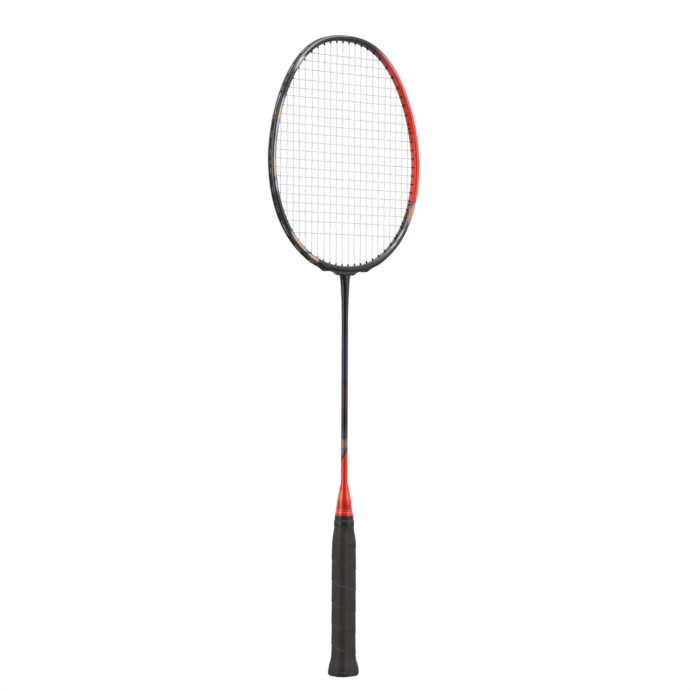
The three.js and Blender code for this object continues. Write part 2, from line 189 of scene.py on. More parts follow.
# ------------------------------------------------------------------ the hoop's curve
def outline_at(angle):
    """Point and outward normal of the head's outline, angle 0 at +X, a quarter turn on top."""
    angle = np.asarray(angle, float)
    cos, sin = np.cos(angle), np.sin(angle)
    height = np.where(sin > 0, HEAD_TOP_Z - HEAD_WIDEST_Z, HEAD_WIDEST_Z - HEAD_BOTTOM_Z)
    across = np.where(sin > 0, CROWN_POWERS[0], THROAT_POWERS[0])
    up = np.where(sin > 0, CROWN_POWERS[1], THROAT_POWERS[1])
    x = HEAD_HALF_WIDTH * np.sign(cos) * abs(cos) ** across
    z = HEAD_WIDEST_Z + height * np.sign(sin) * abs(sin) ** up
    normal_x = height * up * np.sign(cos) * abs(cos) ** (2 - across)
    normal_z = HEAD_HALF_WIDTH * across * np.sign(sin) * abs(sin) ** (2 - up)
    size = np.hypot(normal_x, normal_z)
    return x, z, normal_x / size, normal_z / size


def hoop_point(angle, level, y=0.0):
    """A point out from the outline by a level and off the head's middle plane by y."""
    x, z, normal_x, normal_z = outline_at(angle)
    thicker = THROAT_THICKENING * (1 - smoothstep(abs(x), THICKENING_FROM_X, THICKENING_TO_X))
    thicker = np.where(np.sin(angle) > 0, 0.0, thicker)
    level = np.where(np.asarray(level) > 0, level * (1 + thicker), level)
    return np.stack(np.broadcast_arrays(x + normal_x * level, y, z + normal_z * level), axis=-1)


# ------------------------------------------------------------------ string pattern
def angle_where(measure, low, high):
    """The angle in a range at which a rising measure reaches zero."""
    for _ in range(40):
        middle = (low + high) / 2
        if measure(middle) < 0:
            low = middle
        else:
            high = middle
    return (low + high) / 2


def main_x(index):
    return (index - (MAIN_COUNT - 1) / 2) * MAIN_PITCH


def cross_z(index):
    """Height of a cross string, counted from the top; the last ones are further apart."""
    extra = max(0, index - (CROSS_COUNT - 1 - len(LAST_CROSS_GAPS)))
    even = index - extra
    taper = CROSS_PITCH_TAPER * even * (even - 1) / 2
    return CROSS_TOP_Z - CROSS_PITCH * even + taper - sum(LAST_CROSS_GAPS[:extra])


def right_string_ends():
    """[angle, kind, index] of every string end on the right half, from throat to crown."""
    ends = []
    for index in range(MAIN_COUNT // 2, MAIN_COUNT):
        x = main_x(index)
        top = angle_where(lambda a: x - hoop_point(a, MOUTH_LEVEL)[0], 0.05, math.pi / 2)
        bottom = angle_where(lambda a: hoop_point(a, MOUTH_LEVEL)[0] - x, -math.pi / 2, -0.05)
        ends += [[top, "top", index], [bottom, "bottom", index]]
    for index in range(CROSS_COUNT):
        z = cross_z(index)
        angle = angle_where(lambda a: hoop_point(a, MOUTH_LEVEL)[2] - z, -math.pi / 2, math.pi / 2)
        ends.append([angle, "cross", index])
    ends.sort()
    for before, here in zip(ends, ends[1:]):
        gap = np.linalg.norm(hoop_point(before[0], MOUTH_LEVEL) - hoop_point(here[0], MOUTH_LEVEL))
        if gap < SHARED_HOLE_DISTANCE and before[1] != here[1]:
            before[0] = here[0] = (before[0] + here[0]) / 2
    return ends


RIGHT_ENDS = right_string_ends()
RIGHT_ANGLES = sorted({end[0] for end in RIGHT_ENDS})
SHARED_ANGLES = {a for a in RIGHT_ANGLES if sum(end[0] == a for end in RIGHT_ENDS) > 1}
HOLES = RIGHT_ANGLES + [math.pi - angle for angle in reversed(RIGHT_ANGLES)]


def is_shared(angle):
    return any(math.isclose(angle, a) or math.isclose(angle, math.pi - a) for a in SHARED_ANGLES)


def end_angle(kind, index, on_right):
    """Where a string meets the hoop; a left end mirrors the right one."""
    if kind != "cross" and not on_right:
        index = MAIN_COUNT - 1 - index
    angle = next(end[0] for end in RIGHT_ENDS if end[1:] == [kind, index])
    return angle if on_right else math.pi - angle


# ------------------------------------------------------------------ hoop
def hoop_section(sides=64):
    """[level, y, face angle] round the section: 0 degrees outside, 90 on both faces, 180 inside."""
    out, front = rounded_box(sides, SECTION_EXPONENT)
    y = -HOOP_HALF_DEPTH * front
    groove = 1 - smoothstep(abs(y), GROOVE_HALF_WIDTH, GROOVE_HALF_WIDTH + GROOVE_EDGE)
    level = HOOP_HALF_LEVEL * out - np.where(out > 0, GROOVE_DEPTH * groove, 0)
    turn = np.linspace(0, 2 * math.pi, sides, endpoint=False)
    return level, y, np.degrees(np.minimum(turn, 2 * math.pi - turn))


def make_hoop(slices=900):
    """The hoop, with a face angle on every vertex for its paint."""
    level, y, face = hoop_section()
    angle = np.linspace(0, 2 * math.pi, slices, endpoint=False)[:, None]
    rings = hoop_point(angle, level[None, :], y[None, :])
    x, _, normal_x, normal_z = outline_at(angle)
    rise = HUMP_HEIGHT * np.exp(-(((abs(x) - HUMP_X) / HUMP_WIDTH) ** 2)) * (np.sin(angle) < 0)
    rise = rise * smoothstep(level[None, :], 0.0, HUMP_FULL_LEVEL)
    rings[..., 0] += normal_x * rise
    rings[..., 2] += normal_z * rise
    hoop = loft("hoop_shell", rings, closed_path=True, sharp_degrees=60)
    point_attribute(hoop, "face_angle", np.broadcast_to(face, rings.shape[:2]))
    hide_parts("head_frame")
    return hoop


# ------------------------------------------------------------------ grommets
def barrel_outline(bore):
    """[radius, level] of one grommet, closed on itself: tip inside the hoop, head outside."""
    wall = bore + GROMMET_WALL
    return [
        (bore, BARREL_TIP_LEVEL + 0.15), (bore + 0.08, BARREL_TIP_LEVEL), (wall - 0.2, BARREL_TIP_LEVEL),
        (wall - 0.08, BARREL_TIP_LEVEL + 0.12), (wall, -4.4), (wall + 0.1, -3.3), (wall + 0.1, 1.3),
        (1.5, 1.4), (1.52, 1.8), (1.35, 1.98), (bore + 0.1, 1.98), (bore, 1.85),
    ]


def grommet_points(angle, sides):
    outline = np.array(barrel_outline(SHARED_BORE if is_shared(angle) else SINGLE_BORE))
    _, _, normal_x, normal_z = outline_at(angle)
    along = np.array((-normal_z, 0.0, normal_x))
    turn = np.linspace(0, 2 * math.pi, sides, endpoint=False)
    front_to_back = np.array((0, 1.0, 0))
    ring = along[None, :] * np.cos(turn)[:, None] + front_to_back[None, :] * np.sin(turn)[:, None]
    middle = hoop_point(angle, outline[:, 1])
    return middle[:, None] + outline[:, 0][:, None, None] * ring[None]


# Section of the web between the grommets, as (level, y): a channel that opens outwards.
WEB_SECTION = [
    (1.6, -1.5), (2.95, -1.5), (3.0, -1.35), (2.95, -1.2), (1.95, -1.1), (1.95, 1.1), (2.95, 1.2),
    (3.0, 1.35), (2.95, 1.5), (1.6, 1.5),
]


def make_grommet_strip(number, angles, sides=16):
    """The grommets of one strip with the channelled web that joins them in the groove."""
    vertices, faces, levels = [], [], []
    for angle in angles:
        rings = grommet_points(angle, sides)
        faces += loft_faces(len(rings), sides, True, start=len(vertices))
        vertices += rings.reshape(-1, 3).tolist()
        levels += np.repeat([level for _, level in barrel_outline(0)], sides).tolist()
    web = np.linspace(angles[0] - WEB_OVERHANG, angles[-1] + WEB_OVERHANG, 6 * len(angles))
    rings = np.stack([hoop_point(web, level, y) for level, y in WEB_SECTION], axis=1)
    faces += loft_faces(len(rings), len(WEB_SECTION), False, start=len(vertices))
    vertices += rings.reshape(-1, 3).tolist()
    levels += [level for level, _ in WEB_SECTION] * len(rings)
    strip = make_object(f"grommets_{number:02d}", vertices, faces, sharp_degrees=50)
    point_attribute(strip, "level", levels)
    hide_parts(f"grommet_strip_{number:02d}")
    return strip


def make_grommets():
    """The strips, each with its share of the holes."""
    # The tiny amount rounds a half up.
    stops = [round(number * len(HOLES) / STRIP_COUNT + 1e-9) for number in range(STRIP_COUNT + 1)]
    return [
        make_grommet_strip(number + 1, HOLES[first:last])
        for number, (first, last) in enumerate(zip(stops, stops[1:]))
    ]


# ------------------------------------------------------------------ strings
def string_runs(kind):
    """(first angle, last angle) of each straight run of a string, in stringing order."""
    runs = []
    for index in range(MAIN_COUNT if kind == "main" else CROSS_COUNT):
        if kind == "main":
            on_right = index >= MAIN_COUNT // 2
            low, high = end_angle("bottom", index, on_right), end_angle("top", index, on_right)
        else:
            low, high = end_angle("cross", index, False), end_angle("cross", index, True)
        runs.append((low, high) if index % 2 == 0 else (high, low))
    return runs


def crossing_places(runs, others):
    """For each run, the sorted [(place along it from 0 to 1, index of the string crossed)]."""
    def ends(run):
        return [hoop_point(angle, MOUTH_LEVEL)[[0, 2]] for angle in run]

    found = []
    for run in runs:
        start, finish = ends(run)
        along = finish - start
        places = []
        for number, other in enumerate(others):
            base, tip = ends(other)
            across = tip - base
            spread = along[0] * across[1] - along[1] * across[0]
            offset = base - start
            here = (offset[0] * across[1] - offset[1] * across[0]) / spread
            there = (offset[0] * along[1] - offset[1] * along[0]) / spread
            if 0 < here < 1 and 0 < there < 1:
                places.append((here, number))
        found.append(sorted(places))
    return found


def hole_offset(angle, side):
    """Two strings in one hole lie side by side; a lone one runs down the middle."""
    return side * (STRING_RADIUS + 0.03) if is_shared(angle) else 0.0


def woven_run(run, places, index, side, samples=6):
    """Points of one straight run, over and under the strings it crosses."""
    start, finish = (hoop_point(angle, MOUTH_LEVEL) for angle in run)
    stops = [(0.0, hole_offset(run[0], side))]
    stops += [(place, side * STRING_RADIUS * (-1) ** (index + number)) for place, number in places]
    stops.append((1.0, hole_offset(run[1], side)))
    points = []
    for (here, y), (there, next_y) in zip(stops, stops[1:]):
        for t in np.arange(samples) / samples:
            place = here + (there - here) * t
            lift = y + (next_y - y) * (0.5 - 0.5 * math.cos(math.pi * t))
            points.append(start + (finish - start) * place + np.array((0, lift, 0)))
    points.append(finish + np.array((0, stops[-1][1], 0)))
    return points


def unwrapped(angle):
    """Left-hand angles stay between a quarter turn and three quarters of a turn."""
    return angle + 2 * math.pi if angle < -math.pi / 2 else angle


def loop_outside(from_angle, to_angle, side):
    """Points of a string in the outer groove between two holes."""
    from_angle, to_angle = unwrapped(from_angle), unwrapped(to_angle)
    if abs(to_angle - from_angle) > math.pi:
        to_angle += math.copysign(2 * math.pi, from_angle - to_angle)
    start, finish = hoop_point(from_angle, 0), hoop_point(to_angle, 0)
    length = np.linalg.norm(finish - start)
    count = max(5, round(length / LOOP_POINT_SPACING))
    points = []
    for t in np.linspace(0, 1, count):
        reach = min(t, 1 - t) * length
        level = LOOP_LEVEL - LOOP_RISE * (1 - smoothstep(reach, 0, LOOP_RISE_LENGTH))
        shifted = smoothstep(reach, 0, LOOP_SHIFT_LENGTH)
        y = side * LOOP_OFFSET * shifted
        y += hole_offset(from_angle if t < 0.5 else to_angle, side) * (1 - shifted)
        points.append(hoop_point(from_angle + (to_angle - from_angle) * t, level, y))
    return points


def make_string(name, kind, side):
    """One string, up and down or side to side through the whole head."""
    runs = string_runs(kind)
    others = string_runs("cross" if kind == "main" else "main")
    points = []
    for index, (run, places) in enumerate(zip(runs, crossing_places(runs, others))):
        points.append(hoop_point(run[0], HOLE_OUTSIDE_LEVEL, hole_offset(run[0], side)))
        points += woven_run(run, places, index, side)
        points.append(hoop_point(run[1], HOLE_OUTSIDE_LEVEL, hole_offset(run[1], side)))
        if index + 1 < len(runs):
            points += loop_outside(run[1], runs[index + 1][0], side)
    string = loft(name, tube_rings(points, STRING_RADIUS, 8), sharp_degrees=80)
    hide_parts(f"{kind}_string")
    return string


# ------------------------------------------------------------------ throat and shaft
COLLAR_HALF_LENGTH = 15.5
COLLAR_EXPONENT = 4.5                  # of its rounded-box section


def make_collar(steps=61, sides=40):
    """The fairing that blends the hoop's underside into the top of the shaft."""
    wide, tall = rounded_box(sides, COLLAR_EXPONENT)
    rings = []
    for x in np.linspace(-COLLAR_HALF_LENGTH, COLLAR_HALF_LENGTH, steps):
        to_end = smoothstep(abs(x), 0, COLLAR_HALF_LENGTH)
        # The underside dips into the shaft's flare in the middle and rises to the hoop at its ends.
        bottom = 421.05 + 0.8 * smoothstep(abs(x), 3.0, 6.0) + 3.5 * smoothstep(abs(x), 8.2, 15.4)
        top = 426.2 + 0.9 * to_end
        depth = 4.75 - 0.45 * to_end
        middle, half = (top + bottom) / 2, (top - bottom) / 2
        rings.append(np.stack([np.full(sides, x), -depth * wide, middle + half * tall], axis=1))
    collar = loft("throat_fairing", rings, sharp_degrees=50)
    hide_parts("throat_collar")
    return collar


SHAFT_RADIUS = 3.55
SHAFT_BORE_RADIUS = 2.6
CONE_TOP_Z = 202.4
# The flare at the top of the shaft, as (radius, z). Front to back it is kept no deeper than the
# collar above it, and it spreads sideways to make up for that.
SHAFT_FLARE = [
    (3.55, 372), (3.62, 380), (3.75, 388), (3.97, 396), (4.2, 400.5), (4.42, 404.5), (4.62, 409),
    (4.84, 413), (5.2, 417), (5.85, 421.8),
]
FLARE_HALF_DEPTH, FLARE_SPREAD = 4.6, 0.55


def make_shaft():
    """The hollow shaft, from deep in the handle up to the flare that meets the collar."""
    shaft_low, shaft_high = (corner[2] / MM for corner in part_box("shaft_tube"))
    straight = [(SHAFT_RADIUS, z) for z in np.linspace(CONE_TOP_Z - 4, SHAFT_FLARE[0][1] - 4, 44)]
    outline = [(SHAFT_BORE_RADIUS, shaft_low), (SHAFT_RADIUS, shaft_low), *straight]
    outline += [*smooth_outline(SHAFT_FLARE, 4), (SHAFT_BORE_RADIUS, shaft_high)]
    flatness = 1 - FLARE_HALF_DEPTH / np.maximum(FLARE_HALF_DEPTH, np.array(outline, float)[:, :1])
    rings = turned_rings(outline, 64)
    rings[..., 0] *= 1 + FLARE_SPREAD * flatness
    rings[..., 1] *= 1 - flatness
    shaft = loft("shaft", rings, closed_path=True, sharp_degrees=40)
    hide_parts("shaft_tube")
    return shaft


# ------------------------------------------------------------------ cone and handle
CONE_SURFACE = [
    (3.92, 202.4), (4.3, 200.2), (4.75, 198.2), (5.22, 196.2), (5.68, 193.8), (6.12, 191.6),
    (6.5, 189.2), (7.0, 187), (7.45, 185), (7.72, 183), (7.92, 181), (8.14, 179), (8.45, 176.8),
    (8.72, 174.7), (9.0, 172.6), (9.55, 170.6), (9.78, 169.4), (9.86, 168.3),
]


def make_cone():
    """The cone cap: a turned shell over the shaft, with a skirt that goes inside the tape."""
    surface = smooth_outline(CONE_SURFACE, 4)
    inside = [
        (9.6, 168.05), (7.4, 168.05), (7.4, 157.8), (6.6, 157.8), (6.6, 178), (3.6, 196),
        (3.6, CONE_TOP_Z),
    ]
    cone = loft("cone", turned_rings([*surface, *inside], 72), closed_path=True, sharp_degrees=35)
    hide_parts("cone_cap")
    return cone


def make_tape():
    """Gloss tape wound over the top of the grip and the foot of the cone."""
    outline = [
        (7.7, 163.8), (9.9, 163.8), (10.3, 163.3), (10.42, 160.5), (10.36, 157.8), (10.7, 157.8),
        (10.76, 160.4), (10.74, 163.3), (10.5, 163.9), (10.12, 164.3), (10.0, 165.0), (9.98, 166.0),
        (10.04, 166.3), (10.02, 167.7), (9.85, 167.95), (7.7, 167.95),
    ]
    tape = loft("tape_band", turned_rings(outline, 72), closed_path=True, sharp_degrees=50)
    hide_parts("finishing_tape")
    return tape


# Distance of the handle's flats from its axis: broad ones across X and Y, narrow on the corners.
GRIP_ACROSS_X, GRIP_ACROSS_Y, GRIP_ACROSS_CORNER = 11.7, 10.6, 12.5
GRIP_ROUNDING = 30                     # higher keeps the eight corners crisper
# Half width of the grip seen from the camera's side, as (z, half width).
GRIP_PROFILE = [
    (0.0, 14.2), (0.5, 15.0), (1.2, 15.8), (2.2, 16.25), (3.6, 16.4), (6.0, 16.2), (8.0, 15.95),
    (10.0, 15.55), (12.0, 15.05), (14.0, 14.45), (16.0, 13.85), (18.4, 13.35), (22.0, 13.05),
    (32.0, 12.8), (70.0, 12.8), (90.0, 12.85), (127.0, 12.85), (139.0, 12.65), (143.0, 12.4),
    (147.0, 11.85), (151.0, 11.15), (155.5, 10.65), (157.4, 10.45), (158.2, 10.2), (163.4, 10.15),
]
GRIP_HALF_SEEN = 12.7                  # the plain octagon's half width, seen the same way
# Hollow of the grip, as (share of the plain octagon, z).
GRIP_HOLLOW = [
    (0.735, 163.4), (0.735, 151), (0.848, 136.4), (0.848, 21.3), (0.92, 15.4), (1.037, 9.2),
    (1.06, 4.4), (0.92, 2.3), (0.92, 0.3),
]
# The wound strip: its rise in one turn, where its lower edge starts as a share of a turn, and the
# height of the step where it overlaps the turn below.
WRAP_PITCH, WRAP_START, WRAP_STEP = 22.4, 0.121, 0.34
CAP_DRAWN_RADIUS = 13.5                # the radius of octagon that the cap's outline is drawn for


def octagon_radius(turn):
    """Radius of the rounded eight-sided handle at its straight stretch."""
    across = [GRIP_ACROSS_X, GRIP_ACROSS_CORNER, GRIP_ACROSS_Y, GRIP_ACROSS_CORNER] * 2
    total = 0
    for number, distance in enumerate(across):
        facing = np.clip(np.cos(turn - number * math.pi / 4), 0, None)
        total = total + (facing / distance) ** GRIP_ROUNDING
    return total ** (-1 / GRIP_ROUNDING)


def wrap_phase(turn, z):
    """0 at the strip's lower edge, which overlaps the turn below, rising to 1 at its upper edge."""
    return (z / WRAP_PITCH + turn / (2 * math.pi) + WRAP_START) % 1.0


def make_wrap(sides=160):
    """The grip: an octagonal sleeve that turns round under the tape, stepped along its helix."""
    # Fine rows round the butt's edge, then even ones up to the tape.
    heights = np.concatenate([[0.0], np.linspace(0.25, 3.0, 10), np.linspace(3.4, 163.4, 580)])
    turn = np.linspace(0, 2 * math.pi, sides, endpoint=False)
    profile_z, profile_half = zip(*GRIP_PROFILE)
    half = np.interp(heights, profile_z, profile_half)
    # Above the butt's edge the profile's corners are averaged away.
    kernel = np.hanning(9)
    padded = np.pad(half, len(kernel) // 2, mode="edge")
    half = np.where(heights > 5, np.convolve(padded, kernel / kernel.sum(), "valid"), half)
    shape = octagon_radius(turn)
    rounded = smoothstep(heights, 144, 158)[:, None]
    radius = (shape[None, :] / GRIP_HALF_SEEN * (1 - rounded) + rounded) * half[:, None]
    phase = wrap_phase(turn[None, :], heights[:, None])
    # Each turn is thickest just above its lower edge; the step fades out at the butt and the tape.
    step = WRAP_STEP * ((1 - phase) * smoothstep(phase, 0, 0.03) - 0.5)
    step = step * (smoothstep(heights, 2, 12) - smoothstep(heights, 150, 157))[:, None]
    radius = radius + step
    hollow, hollow_z = (np.array(column)[:, None] for column in zip(*GRIP_HOLLOW))
    radius = np.concatenate([radius, hollow * shape[None, :]])
    z = np.broadcast_to(np.concatenate([heights[:, None], hollow_z]), radius.shape)
    rings = np.stack([radius * np.cos(turn), radius * np.sin(turn), z], axis=-1)
    wrap = loft("grip", rings, closed_path=True, sharp_degrees=50)
    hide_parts("grip_wrap")
    return wrap


def make_cap(sides=96):
    """The plate that closes the butt, with a shallow ring round a plain boss, and its plug."""
    shape = octagon_radius(np.linspace(0, 2 * math.pi, sides, endpoint=False)) / CAP_DRAWN_RADIUS
    outline = [
        (4.2, 12.0), (4.2, 2.1), (11.8, 2.1), (11.85, 0.5), (11.6, 0.1), (11.3, 0.0), (9.2, 0.0),
        (8.9, 0.35), (7.9, 0.35), (7.6, 0.0),
    ]
    cap = loft("butt_plate", turned_rings(outline, sides, shape), sharp_degrees=35)
    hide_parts("butt_cap")
    return cap


# ------------------------------------------------------------------ materials
def srgb(red, green, blue):
    """A colour from its everyday 0 to 255 values."""
    def linear(value):
        value /= 255
        return value / 12.92 if value <= 0.04045 else ((value + 0.055) / 1.055) ** 2.4

    return (linear(red), linear(green), linear(blue), 1.0)


class Nodes:
    """A node tree being put together, with short names for the nodes that it uses."""

    def __init__(self, tree):
        self.tree = tree

    def feed(self, socket, value):
        if isinstance(value, bpy.types.NodeSocket):
            self.tree.links.new(value, socket)
        else:
            socket.default_value = value

    def node(self, kind, inputs, **properties):
        made = self.tree.nodes.new(f"ShaderNode{kind}")
        for key, value in properties.items():
            setattr(made, key, value)
        for key, value in inputs.items():
            self.feed(made.inputs[key], value)
        return made

    def math(self, operation, *values):
        return self.node("Math", dict(enumerate(values)), operation=operation).outputs[0]

    def vector(self, operation, *values):
        return self.node("VectorMath", dict(enumerate(values)), operation=operation).outputs[0]

    def product(self, first, *others):
        """Several values multiplied together."""
        for other in others:
            first = self.math("MULTIPLY", first, other)
        return first

    def away(self, value, centre):
        """How far a value is from a centre."""
        return self.math("ABSOLUTE", self.math("SUBTRACT", value, centre))

    def fade(self, value, low, high, to_low=0.0, to_high=1.0):
        """A smooth step from one value to another."""
        inputs = {"Value": value, "From Min": low, "From Max": high, "To Min": to_low, "To Max": to_high}
        return self.node("MapRange", inputs, interpolation_type="SMOOTHSTEP").outputs[0]

    def mix(self, factor, first, second, blend="MIX"):
        inputs = {0: factor, 6: first, 7: second}
        return self.node("Mix", inputs, data_type="RGBA", blend_type=blend).outputs[2]

    def ramp(self, value, low, high, stops):
        """Colours against a value, as (value, colour) stops in rising order."""
        share = self.node("MapRange", {"Value": value, "From Min": low, "From Max": high}).outputs[0]
        made = self.node("ValToRGB", {"Fac": share})
        elements = made.color_ramp.elements
        while len(elements) < len(stops):
            elements.new(0.5)
        for element, (place, colour) in zip(elements, stops):
            element.position = (place - low) / (high - low)
            element.color = colour
        return made.outputs[0]

    def place(self):
        """X, Y and Z in mm."""
        coordinates = self.node("TexCoord", {}).outputs["Object"]
        split = self.node("SeparateXYZ", {0: coordinates})
        return [self.math("MULTIPLY", output, 1 / MM) for output in split.outputs]

    def attribute(self, name):
        """The number that point_attribute() put on the mesh, or 0 where a mesh has none."""
        return self.node("Attribute", {}, attribute_name=name).outputs["Fac"]

    def point(self, x, y, z):
        return self.node("CombineXYZ", {0: x, 1: y, 2: z}).outputs[0]

    def noise(self, scale_per_mm, detail=3.0, roughness=0.5, stretch=(1.0, 1.0, 1.0)):
        coordinates = self.node("TexCoord", {}).outputs["Object"]
        size = tuple(scale_per_mm / MM * share for share in stretch)
        scaled = self.vector("MULTIPLY", coordinates, size)
        inputs = {"Vector": scaled, "Scale": 1.0, "Detail": detail, "Roughness": roughness}
        return self.node("TexNoise", inputs).outputs[0]

    def show_camera(self, shader, seen_shader, output):
        """One shader for light and reflections, and another where the camera sees it directly."""
        seen = self.node("LightPath", {}).outputs["Is Camera Ray"]
        mixed = self.node("MixShader", {0: seen, 1: shader, 2: seen_shader}).outputs[0]
        self.feed(output.inputs["Surface"], mixed)

    def bump(self, height, depth_mm, normal=None):
        inputs = {"Strength": 1.0, "Distance": depth_mm * MM, "Height": height}
        if normal is not None:
            inputs["Normal"] = normal
        return self.node("Bump", inputs).outputs[0]


class Recipe(Nodes):
    """A material being put together round its Principled shader."""

    def __init__(self, name, **settings):
        self.material = bpy.data.materials.new(name)
        self.material.use_nodes = True
        super().__init__(self.material.node_tree)
        self.shader = self.tree.nodes["Principled BSDF"]
        self.use(**settings)

    def use(self, **settings):
        """Sets or links the shader's sockets, named with _ for each space."""
        for socket, value in settings.items():
            self.feed(self.shader.inputs[socket.replace("_", " ")], value)


# Near-black of the painted shade on the red limb's inner face.
PAINTED_SHADE_INK = srgb(16, 14, 16)
BLACK = srgb(29, 28, 32)
NIGHT = srgb(32, 31, 43)
NAVY = srgb(58, 62, 104)
BLUE = srgb(78, 86, 138)
ICE = srgb(128, 130, 158)
LILAC = srgb(152, 134, 164)
SLATE = srgb(96, 100, 120)
SILVER = srgb(146, 140, 148)
# Pale grey of the painted highlights along the dark limb's corners.
PAINTED_HIGHLIGHT_PALE = srgb(184, 178, 186)
BLUSH = srgb(196, 176, 174)
ROSE = srgb(188, 142, 146)
COPPER = srgb(186, 122, 82)
AMBER = srgb(214, 148, 106)
PEACH = srgb(184, 150, 130)
TAUPE = srgb(132, 112, 106)
RUST = srgb(72, 36, 28)
MAROON = srgb(96, 22, 20)
RED = srgb(248, 50, 10)
FOOT_RED = srgb(234, 40, 22)
TEAL = srgb(86, 98, 96)
BRONZE = srgb(148, 108, 86)
GOLD = srgb(190, 126, 70)
CREAM = srgb(230, 122, 88)
DEEP_NAVY = srgb(40, 42, 72)
CARMINE = srgb(250, 66, 58)
CRIMSON = srgb(242, 62, 82)
DUSK = srgb(206, 56, 76)
WINE = srgb(66, 36, 40)
CHARCOAL = srgb(66, 64, 69)
EMBER = srgb(52, 28, 24)

GRAPHICS_LOW, GRAPHICS_HIGH = 420.0, 675.0
# Paint up the dark limb and up the red limb, as (z, colour) at the middle of either face.
DARK_SIDE = [
    (429, NIGHT), (434, COPPER), (441, PEACH), (443.5, NAVY), (448, ICE), (451, COPPER),
    (459, PEACH), (462, ICE), (466, NAVY), (470, BLACK), (500, BLACK), (507, SLATE), (513, ICE),
    (520, BLUE), (523, COPPER), (533, PEACH), (540, PEACH), (543, ICE), (554, ICE), (557, TAUPE),
    (562, SLATE), (573, ICE), (579, ICE), (582, PEACH), (591, PEACH), (594, SILVER), (600, ICE),
    (604, BLUE), (610, BLACK), (630, NIGHT), (638, SILVER), (643, PEACH),
]
RED_SIDE = [
    (420, NIGHT), (431, NIGHT), (436, SLATE), (440, SLATE), (444, BRONZE), (447.5, SLATE),
    (449.5, BLUSH), (452.5, BLUSH), (455, SLATE), (457, SLATE), (460, BLUSH), (468, BLUSH),
    (470.5, BLUE), (474, LILAC), (477, LILAC), (479, ROSE), (482, AMBER), (490, AMBER), (493, ROSE),
    (496, SLATE), (499.4, SLATE), (500, RED), (620, RED), (634, CARMINE), (642, CRIMSON), (650, DUSK),
    (657, WINE), (664, BLACK),
]
# The flash along the red limb's outer half, as (z, colour).
FLASH = [(600, BLUE), (607, LILAC), (618, ROSE), (645, ROSE), (660, SILVER)]


FLAKE_SCALE = 9.0                      # of the glitter in the paint, per mm
# White of the painted highlight along the middle of the dark limb's faces.
PAINTED_HIGHLIGHT_WHITE = (1.0, 0.96, 0.92, 1.0)


def dark_limb_colour(recipe, x, y, z, face):
    """Black paint with colour patches on both faces, a painted shade and a painted highlight across
    them, and painted highlights as pale lines up its corners.
    """
    patches = recipe.ramp(z, GRAPHICS_LOW, GRAPHICS_HIGH, DARK_SIDE)
    patches = recipe.mix(recipe.fade(z, 645.0, 650.0), patches, BLACK)
    throat = recipe.fade(recipe.math("ABSOLUTE", x), 41.5, 38.5)
    patches = recipe.mix(throat, patches, NIGHT)
    # Inwards from the outer corner: charcoal, a painted shade of the patch, then the patch itself with a
    # painted highlight along its middle, and black inside.
    outside = recipe.mix(throat, CHARCOAL, NIGHT)
    # Painted shade: the patch colour multiplied by itself.
    painted_shade_of_patch = recipe.mix(1.0, patches, patches, "MULTIPLY")
    colour = recipe.mix(recipe.fade(face, 36.0, 52.0), outside, painted_shade_of_patch)
    colour = recipe.mix(recipe.fade(face, 76.0, 84.0), colour, patches)
    pale = recipe.fade(recipe.node("RGBToBW", {0: patches}).outputs[0], 0.05, 0.2)
    # Painted highlight: a warm white line along the middle of the faces, on the paler patches only.
    painted_highlight = recipe.product(recipe.fade(face, 72.0, 78.0), recipe.fade(face, 98.0, 86.0), pale, 0.38)
    colour = recipe.mix(painted_highlight, colour, PAINTED_HIGHLIGHT_WHITE)
    colour = recipe.mix(recipe.fade(face, 158.0, 132.0), BLACK, colour)
    # A painted highlight: a silver streak along the outer corners, up to the crown.
    painted_corner_highlight = recipe.fade(recipe.away(face, 66.0), 12.0, 5.0)
    painted_corner_highlight = recipe.product(painted_corner_highlight, recipe.fade(z, 628.0, 648.0), 0.9)
    colour = recipe.mix(painted_corner_highlight, colour, PAINTED_HIGHLIGHT_PALE)
    # A painted rim highlight: a pale line along the rear corner below it.
    painted_rim_highlight = recipe.product(recipe.fade(face, 66.0, 56.0), recipe.fade(y, 1.6, 2.4))
    painted_rim_highlight = recipe.product(painted_rim_highlight, recipe.fade(z, 535.0, 560.0), recipe.fade(z, 655.0, 640.0, 0.0, 0.8))
    return recipe.mix(painted_rim_highlight, colour, PAINTED_HIGHLIGHT_PALE)


def red_limb_colour(recipe, z, face):
    """Red paint from a slanted cut upwards, and below it patches that leave the outside dark."""
    slanted_z = recipe.math("ADD", z, recipe.math("MULTIPLY_ADD", face, 0.075, -14.25))
    patches = recipe.ramp(slanted_z, GRAPHICS_LOW, GRAPHICS_HIGH, RED_SIDE)
    painted = recipe.math("GREATER_THAN", slanted_z, 499.5)
    # Below the red: a slanted patch over the faces, then a strip along the inner corner, part patch
    # colour and part painted highlight where the corner catches the light.
    patch = recipe.fade(recipe.math("MULTIPLY_ADD", face, -0.22, z), 457.0, 459.0)
    strip = recipe.fade(recipe.away(face, 133.0), 26.0, 11.0, 0.0, 0.95)
    share = recipe.math("MAXIMUM", painted, recipe.math("MAXIMUM", patch, strip))
    dark = recipe.mix(recipe.fade(z, 470.0, 480.0), NIGHT, EMBER)
    # Painted shade: the inner face is darkened towards ink.
    dark = recipe.mix(recipe.fade(face, 142.0, 158.0, 0.0, 0.85), dark, PAINTED_SHADE_INK)
    colour = recipe.mix(share, dark, patches)
    # A pink flash along the outer half of the limb, pinched in its middle, from a slanted cut up.
    pinch = recipe.fade(recipe.away(z, 630.0), 18.0, 2.0)
    flash = recipe.math("LESS_THAN", face, recipe.math("MULTIPLY_ADD", pinch, -12.0, 108.0))
    cut = recipe.math("GREATER_THAN", recipe.math("MULTIPLY_ADD", face, 0.35, z), 634.0)
    flash = recipe.product(flash, cut, recipe.fade(z, 664.0, 654.0), 0.8)
    return recipe.mix(flash, colour, recipe.ramp(z, 595.0, 665.0, FLASH))


